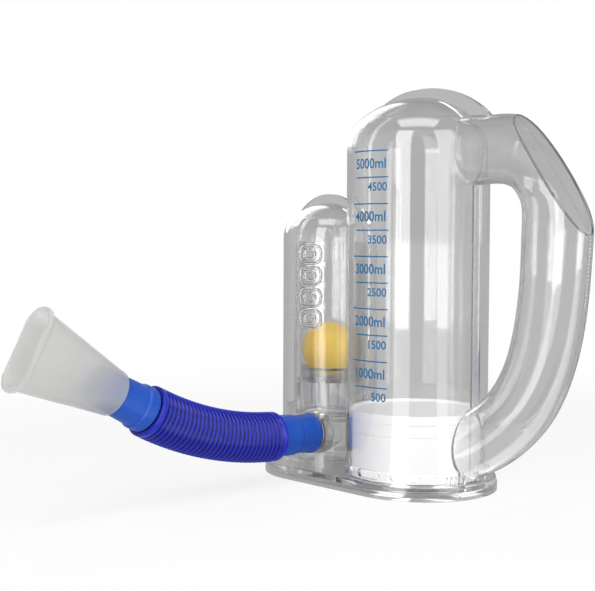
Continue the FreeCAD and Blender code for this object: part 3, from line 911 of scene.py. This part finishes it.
# short ridges in the flow chamber's foot, and ribs where the large chamber meets its own, next to the handle's flange
ridgeLook = {"centreX": flowX, "wallR": 0.0271, "turns": (-78, -70, -62, -54, -46, -38), "low": 0.0270,
             "high": 0.0420, "radius": 0.0008}
footRibLook = {"centreX": 0.0, "wallR": chamberOuterR, "turns": (66, 70, 74, 78, 82), "low": 0.0080,
               "high": 0.0128, "radius": 0.0006}
weldLook = {
    # beads of the weld on the outer edge of the handle
    "low": 0.1140,
    "high": 0.1540,
    "pitch": 0.0021,
    "long": 0.0011,
    "radius": 0.00055,
    "shares": (-0.5, -0.3, 0.3, 0.5),
    "lookFrom": (0.2, -0.0003),    # outside the handle, and just off the seam
}


def addRod(points, faces, track, radius, closed=False):
    # round rod along a track of (place, outward) pairs, with rounded ends
    first = len(points)
    sides = detailLook["rodSides"]
    count = len(track)
    for index, (place, outward) in enumerate(track):
        ahead = track[(index + 1) % count if closed else min(index + 1, count - 1)][0]
        behind = track[index - 1 if closed else max(index - 1, 0)][0]
        across = (ahead - behind).normalized().cross(outward).normalized()
        atEnd = not closed and index in (0, count - 1)
        thick = radius * (detailLook["rodEnd"] if atEnd else 1.0)
        for step in range(sides):
            turn = 2 * math.pi * step / sides
            points.append(place + outward * (thick * math.cos(turn)) + across * (thick * math.sin(turn)))
    faces.extend(gridFaces(count, sides, closeRows=closed, closeColumns=True, first=first))
    if not closed:
        faces.append([first + step for step in range(sides)])
        faces.append([first + (count - 1) * sides + step for step in range(sides)])


def wallTrack(centreX, radius, degrees, low, high):
    # upright track on a round wall, its two ends close together so that they look rounded
    outward = levelOut(math.radians(degrees))
    rim = (high - low) * detailLook["rimShare"]
    heights = (low, low + rim, (low + high) / 2, high - rim, high)
    return [(Vector((centreX, 0, height)) + outward * radius, outward) for height in heights]


def ringTrack(centreX, radius, height):
    steps = detailLook["ringSteps"]
    outwards = [levelOut(2 * math.pi * step / steps) for step in range(steps)]
    return [(Vector((centreX, 0, height)) + outward * radius, outward) for outward in outwards]


def makeRiserDetails(look):
    points, faces = [], []
    low, high = look["portSide"]
    for count in range(look["ribs"]):
        degrees = 360 * count / look["ribs"] - 180
        if not low < degrees < high:
            track = wallTrack(flowX, look["wallR"], degrees, look["low"], look["high"])
            addRod(points, faces, track, look["ribRadius"])
    for height, radius in look["beads"]:
        addRod(points, faces, ringTrack(flowX, look["wallR"], height), radius, closed=True)
    newMesh("riserRibs", points, faces, innerPlastic, "housing")


def makeWallRibs(name, look):
    points, faces = [], []
    for degrees in look["turns"]:
        track = wallTrack(look["centreX"], look["wallR"], degrees, look["low"], look["high"])
        addRod(points, faces, track, look["radius"])
    newMesh(name, points, faces, shellPlastic, "housing")


def makeWeldBeads(look):
    # the handle's outer edge is found on the CAD shell itself
    shell = nodes["front_shell"]
    toLocal = shell.matrix_world.inverted()
    points, faces = [], []
    height = look["low"]
    while height < look["high"]:
        track = []
        for share in look["shares"]:
            level = height + share * look["long"]
            start = toLocal @ Vector((*look["lookFrom"], level))
            place = shell.ray_cast(start, Vector((-1, 0, 0)))[1]
            track.append((Vector((place.x, 0, level)), Vector((1, 0, 0))))
        addRod(points, faces, track, look["radius"])
        height += look["pitch"]
    newMesh("handleWeldBeads", points, faces, shellPlastic, "housing")


makeRiserDetails(riserLook)
makeWallRibs("flowChamberRidges", ridgeLook)
makeWallRibs("footRibs", footRibLook)
makeWeldBeads(weldLook)
print("clear details made")


# End of the build

print("scene built")
